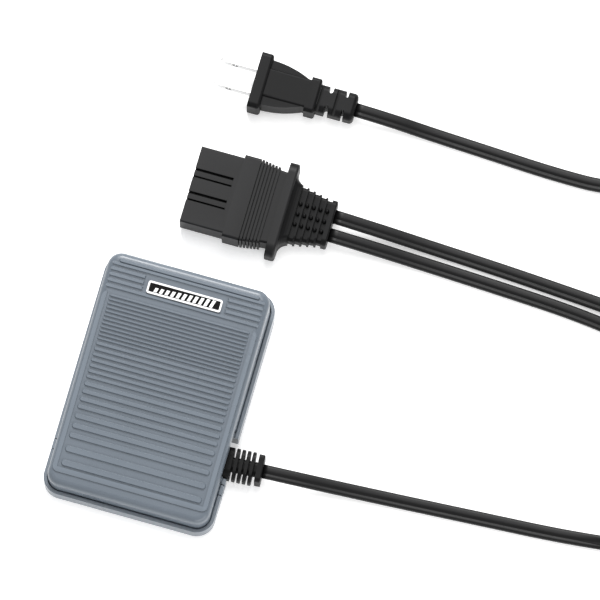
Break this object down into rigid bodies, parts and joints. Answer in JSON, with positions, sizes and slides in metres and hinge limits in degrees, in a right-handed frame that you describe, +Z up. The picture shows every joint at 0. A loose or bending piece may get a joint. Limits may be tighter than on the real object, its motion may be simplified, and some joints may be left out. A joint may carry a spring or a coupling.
{
  "type": "sewing machine pedal",
  "caption": "Foot speed control: ribbed grey cover that tilts in a shallow tray, flat mains lead, three-finger machine connector and two-blade plug.",
  "frame": {"origin": "on the floor, below the middle of the pedal without its cord", "axes": "+Z up, +Y toward the toe end, +X toward the side that the cord leaves"},
  "size_m": [0.3657, 0.2589, 0.0372],
  "materials": {
    "grey_plastic": "satin",
    "foot_rubber": "matt",
    "steel": "satin",
    "badge_black": "gloss",
    "badge_white": "gloss",
    "board": "satin",
    "aluminium": "satin",
    "component_black": "satin",
    "copper_wire": "satin",
    "component_yellow": "gloss",
    "component_tan": "satin",
    "component_white": "satin",
    "wire_sleeve": "satin",
    "cord_sheath": "satin",
    "black_rubber": "matt",
    "black_moulding": "matt",
    "brass_contact": "satin",
    "nickel": "polished"
  },
  "bodies": {
    "base": {"base_tray": "grey_plastic", "rubber_feet": "foot_rubber", "return_springs": "steel", "circuit_board": "board", "board_screws": "steel", "heat_sink": "aluminium", "triac": "component_black", "choke_coil": "copper_wire", "capacitors": "component_yellow", "resistors": "component_tan", "terminal_block": "component_white", "potentiometer": "component_black", "cord_tail": "cord_sheath", "cord_clamp": "steel", "clamp_screws": "steel", "lead_wires": "wire_sleeve", "cord_gland": "black_rubber", "connector_block": "black_moulding", "socket_contacts": "brass_contact", "connector_shell": "black_moulding", "connector_boot": "black_rubber", "plug_body": "black_rubber", "plug_blades": "nickel", "plug_relief": "black_rubber", "coil_a": "cord_sheath", "coil_b": "cord_sheath", "cord_a_near": "cord_sheath", "cord_a_far": "cord_sheath", "cord_b_near": "cord_sheath", "cord_b_far": "cord_sheath"},
    "cover": {"top_cover": "grey_plastic", "hinge_pins": "steel", "badge_plate": "badge_black", "badge_rim": "badge_white", "badge_bars": "badge_white", "actuator_arm": "grey_plastic"},
    "lever": {"wiper_lever": "component_white", "wiper_shaft": "steel"}
  },
  "joints": [
    {"name": "cover_tilt", "type": "hinge", "parent": "base", "child": "cover", "pos_m": [0, -0.039, 0.008], "axis": [-1, 0, 0], "range_deg": [0, 5.5], "stiffness_Nm_per_rad": 8, "springref_deg": -8.59, "deforming": ["return_springs"]},
    {"name": "lever_turn", "type": "hinge", "parent": "base", "child": "lever", "pos_m": [0, -0.008, 0.0139], "axis": [-1, 0, 0], "range_deg": [0, 18.9]}
  ],
  "couplings": [
    {"joint": "lever_turn", "follows": "cover_tilt", "ratio": 3.43}
  ]
}
